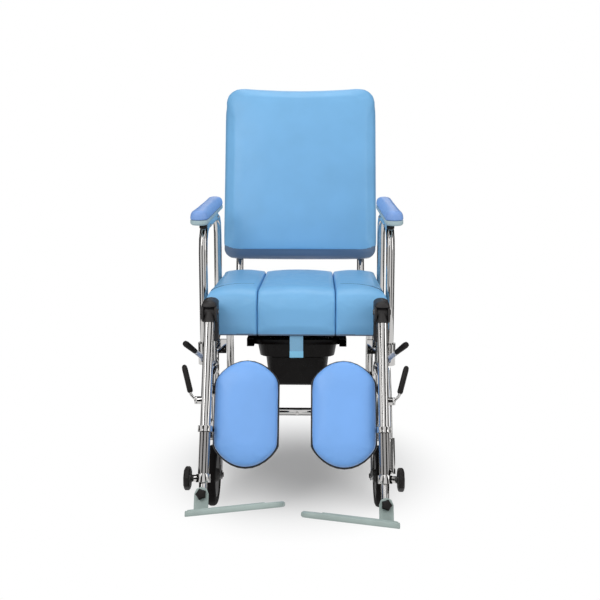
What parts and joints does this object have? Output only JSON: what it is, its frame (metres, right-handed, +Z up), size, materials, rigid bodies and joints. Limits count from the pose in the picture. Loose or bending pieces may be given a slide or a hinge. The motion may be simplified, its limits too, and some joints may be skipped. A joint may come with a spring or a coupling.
{
  "type": "reclining commode wheelchair",
  "caption": "Reclining commode wheelchair with lift-out seat centre over a sliding pan, elevating swing-away legrests, flip-up footplates, lift-off armrests and swivel casters.",
  "frame": {"origin": "on the floor under the middle of the chair's bounding box", "axes": "+Z up, the chair faces -Y, +X to the right as seen from the front; left and right in the names are as seen from the front"},
  "size_m": [0.5416, 1.1758, 1.049],
  "materials": {
    "chrome": "polished",
    "brushed_steel": "satin",
    "blue_vinyl": "soft sheen vinyl",
    "pad_vinyl": "soft sheen vinyl",
    "pale_plastic": "matte",
    "footplate_plastic": "matte",
    "black_plastic": "moulded",
    "tyre_rubber": "matte",
    "hub_plastic": "matte",
    "strap_webbing": "woven"
  },
  "bodies": {
    "armrest_left": {"armrest_base_left": "pale_plastic", "armrest_frame_left": "chrome", "armrest_pad_left": "pad_vinyl"},
    "armrest_right": {"armrest_base_right": "pale_plastic", "armrest_frame_right": "chrome", "armrest_pad_right": "pad_vinyl"},
    "backrest": {"backrest_cushion": "blue_vinyl", "backrest_frame": "chrome", "push_grip_left": "black_plastic", "push_grip_right": "black_plastic"},
    "brake_pedal_left": {"brake_pedal_left": "black_plastic"},
    "brake_pedal_right": {"brake_pedal_right": "black_plastic"},
    "calf_left": {"calf_pad_back_left": "black_plastic", "calf_pad_left": "pad_vinyl"},
    "calf_right": {"calf_pad_back_right": "black_plastic", "calf_pad_right": "pad_vinyl"},
    "frame": {"lower_cross_tube": "chrome", "seat_cushion_left": "blue_vinyl", "seat_cushion_right": "blue_vinyl", "seat_frame": "brushed_steel", "side_frame_left": "chrome", "side_frame_right": "chrome"},
    "clamp_knob_left": {"clamp_knob_left": "black_plastic"},
    "clamp_knob_right": {"clamp_knob_right": "black_plastic"},
    "extension_left": {"extension_tube_left": "chrome"},
    "extension_right": {"extension_tube_right": "chrome"},
    "footplate_knob_left": {"footplate_knob_left": "black_plastic"},
    "footplate_knob_right": {"footplate_knob_right": "black_plastic"},
    "footplate_left": {"footplate_left": "footplate_plastic"},
    "footplate_right": {"footplate_right": "footplate_plastic"},
    "front_swivel_left": {"front_fork_left": "brushed_steel"},
    "front_swivel_right": {"front_fork_right": "brushed_steel"},
    "front_wheel_left": {"front_hub_left": "hub_plastic", "front_tyre_left": "tyre_rubber"},
    "front_wheel_right": {"front_hub_right": "hub_plastic", "front_tyre_right": "tyre_rubber"},
    "hanger_left": {"hanger_left": "chrome", "knee_housing_left": "black_plastic"},
    "hanger_right": {"hanger_right": "chrome", "knee_housing_right": "black_plastic"},
    "latch_left": {"latch_grip_left": "black_plastic", "latch_lever_left": "brushed_steel"},
    "latch_right": {"latch_grip_right": "black_plastic", "latch_lever_right": "brushed_steel"},
    "legrest_left": {"legrest_tube_left": "chrome"},
    "legrest_right": {"legrest_tube_right": "chrome"},
    "pan": {"commode_pan": "black_plastic"},
    "rear_swivel_left": {"rear_fork_left": "brushed_steel"},
    "rear_swivel_right": {"rear_fork_right": "brushed_steel"},
    "rear_wheel_left": {"rear_hub_left": "hub_plastic", "rear_tyre_left": "tyre_rubber"},
    "rear_wheel_right": {"rear_hub_right": "hub_plastic", "rear_tyre_right": "tyre_rubber"},
    "recline_lever": {"recline_lever": "black_plastic"},
    "release_left": {"release_grip_left": "black_plastic", "release_lever_left": "chrome"},
    "release_right": {"release_grip_right": "black_plastic", "release_lever_right": "chrome"},
    "seat_centre": {"pull_strap": "strap_webbing", "seat_centre_cushion": "blue_vinyl"}
  },
  "joints": [
    {"name": "backrest_recline", "type": "hinge", "parent": "frame", "child": "backrest", "pos_m": [0, 0.2841, 0.385], "axis": [-1, 0, 0], "range_deg": [0, 60]},
    {"name": "recline_lever_turn", "type": "hinge", "parent": "frame", "child": "recline_lever", "pos_m": [0.208, 0.2841, 0.385], "axis": [1, 0, 0], "range_deg": [0, 60]},
    {"name": "seat_centre_lift", "type": "slide", "parent": "frame", "child": "seat_centre", "axis": [0, 0.061, 0.9981], "range_m": [0, 0.15]},
    {"name": "pan_slide", "type": "slide", "parent": "frame", "child": "pan", "axis": [0, 0.9981, -0.061], "range_m": [0, 0.3]},
    {"name": "armrest_lift_left", "type": "slide", "parent": "frame", "child": "armrest_left", "axis": [0, 0, 1], "range_m": [0, 0.15]},
    {"name": "hanger_swing_left", "type": "hinge", "parent": "frame", "child": "hanger_left", "pos_m": [-0.206, -0.2159, 0.295], "axis": [0, 0, -1], "range_deg": [0, 80]},
    {"name": "latch_lift_left", "type": "hinge", "parent": "hanger_left", "child": "latch_left", "pos_m": [-0.22566, -0.22967, 0.385], "axis": [-0.5736, 0.8192, 0], "range_deg": [0, 25], "stiffness_Nm_per_rad": 0.4, "springref_deg": -11.46},
    {"name": "legrest_elevate_left", "type": "hinge", "parent": "hanger_left", "child": "legrest_left", "pos_m": [-0.206, -0.2479, 0.505], "axis": [-1, 0, 0], "range_deg": [-5, 60]},
    {"name": "release_pull_left", "type": "hinge", "parent": "legrest_left", "child": "release_left", "pos_m": [-0.2265, -0.33665, 0.31467], "axis": [1, 0, 0], "range_deg": [0, 20], "stiffness_Nm_per_rad": 0.4, "springref_deg": -11.46},
    {"name": "calf_swing_left", "type": "hinge", "parent": "legrest_left", "child": "calf_left", "pos_m": [-0.206, -0.36412, 0.25577], "axis": [0, 0.4226, 0.9063], "range_deg": [-90, 0]},
    {"name": "extension_slide_left", "type": "slide", "parent": "legrest_left", "child": "extension_left", "axis": [0, -0.4226, -0.9063], "range_m": [-0.01, 0.07]},
    {"name": "clamp_knob_turn_left", "type": "hinge", "parent": "legrest_left", "child": "clamp_knob_left", "pos_m": [-0.233, -0.41061, 0.15607], "axis": [1, 0, 0], "range_deg": [-180, 180]},
    {"name": "footplate_flip_left", "type": "hinge", "parent": "extension_left", "child": "footplate_left", "pos_m": [-0.206, -0.44171, 0.13196], "axis": [0, -0.9063, 0.4226], "range_deg": [0, 85]},
    {"name": "footplate_knob_turn_left", "type": "hinge", "parent": "footplate_left", "child": "footplate_knob_left", "pos_m": [-0.206, -0.44715, 0.13449], "axis": [0, 0.9063, -0.4226], "range_deg": [-180, 180]},
    {"name": "front_swivel_turn_left", "type": "hinge", "parent": "frame", "child": "front_swivel_left", "pos_m": [-0.208, -0.1409, 0.162], "axis": [0, 0, 1], "continuous": true},
    {"name": "front_wheel_roll_left", "type": "hinge", "parent": "front_swivel_left", "child": "front_wheel_left", "pos_m": [-0.208, -0.2009, 0.07408], "axis": [1, 0, 0], "continuous": true},
    {"name": "rear_swivel_turn_left", "type": "hinge", "parent": "frame", "child": "rear_swivel_left", "pos_m": [-0.208, 0.2541, 0.162], "axis": [0, 0, 1], "continuous": true},
    {"name": "rear_wheel_roll_left", "type": "hinge", "parent": "rear_swivel_left", "child": "rear_wheel_left", "pos_m": [-0.208, 0.3141, 0.07408], "axis": [1, 0, 0], "continuous": true},
    {"name": "brake_press_left", "type": "hinge", "parent": "rear_swivel_left", "child": "brake_pedal_left", "pos_m": [-0.208, 0.3721, 0.149], "axis": [-1, 0, 0], "range_deg": [0, 15]},
    {"name": "armrest_lift_right", "type": "slide", "parent": "frame", "child": "armrest_right", "axis": [0, 0, 1], "range_m": [0, 0.15]},
    {"name": "hanger_swing_right", "type": "hinge", "parent": "frame", "child": "hanger_right", "pos_m": [0.206, -0.2159, 0.295], "axis": [0, 0, 1], "range_deg": [0, 80]},
    {"name": "latch_lift_right", "type": "hinge", "parent": "hanger_right", "child": "latch_right", "pos_m": [0.22566, -0.22967, 0.385], "axis": [-0.5736, -0.8192, 0], "range_deg": [0, 25], "stiffness_Nm_per_rad": 0.4, "springref_deg": -11.46},
    {"name": "legrest_elevate_right", "type": "hinge", "parent": "hanger_right", "child": "legrest_right", "pos_m": [0.206, -0.2479, 0.505], "axis": [-1, 0, 0], "range_deg": [-5, 60]},
    {"name": "release_pull_right", "type": "hinge", "parent": "legrest_right", "child": "release_right", "pos_m": [0.2265, -0.33665, 0.31467], "axis": [1, 0, 0], "range_deg": [0, 20], "stiffness_Nm_per_rad": 0.4, "springref_deg": -11.46},
    {"name": "calf_swing_right", "type": "hinge", "parent": "legrest_right", "child": "calf_right", "pos_m": [0.206, -0.36412, 0.25577], "axis": [0, -0.4226, -0.9063], "range_deg": [-90, 0]},
    {"name": "extension_slide_right", "type": "slide", "parent": "legrest_right", "child": "extension_right", "axis": [0, -0.4226, -0.9063], "range_m": [-0.03, 0.05]},
    {"name": "clamp_knob_turn_right", "type": "hinge", "parent": "legrest_right", "child": "clamp_knob_right", "pos_m": [0.233, -0.41061, 0.15607], "axis": [1, 0, 0], "range_deg": [-180, 180]},
    {"name": "footplate_flip_right", "type": "hinge", "parent": "extension_right", "child": "footplate_right", "pos_m": [0.206, -0.45017, 0.11383], "axis": [0, 0.9063, -0.4226], "range_deg": [0, 85]},
    {"name": "footplate_knob_turn_right", "type": "hinge", "parent": "footplate_right", "child": "footplate_knob_right", "pos_m": [0.206, -0.4556, 0.11637], "axis": [0, 0.9063, -0.4226], "range_deg": [-180, 180]},
    {"name": "front_swivel_turn_right", "type": "hinge", "parent": "frame", "child": "front_swivel_right", "pos_m": [0.208, -0.1409, 0.162], "axis": [0, 0, 1], "continuous": true},
    {"name": "front_wheel_roll_right", "type": "hinge", "parent": "front_swivel_right", "child": "front_wheel_right", "pos_m": [0.208, -0.2009, 0.07408], "axis": [1, 0, 0], "continuous": true},
    {"name": "rear_swivel_turn_right", "type": "hinge", "parent": "frame", "child": "rear_swivel_right", "pos_m": [0.208, 0.2541, 0.162], "axis": [0, 0, 1], "continuous": true},
    {"name": "rear_wheel_roll_right", "type": "hinge", "parent": "rear_swivel_right", "child": "rear_wheel_right", "pos_m": [0.208, 0.3141, 0.07408], "axis": [1, 0, 0], "continuous": true},
    {"name": "brake_press_right", "type": "hinge", "parent": "rear_swivel_right", "child": "brake_pedal_right", "pos_m": [0.208, 0.3721, 0.149], "axis": [-1, 0, 0], "range_deg": [0, 15]}
  ]
}
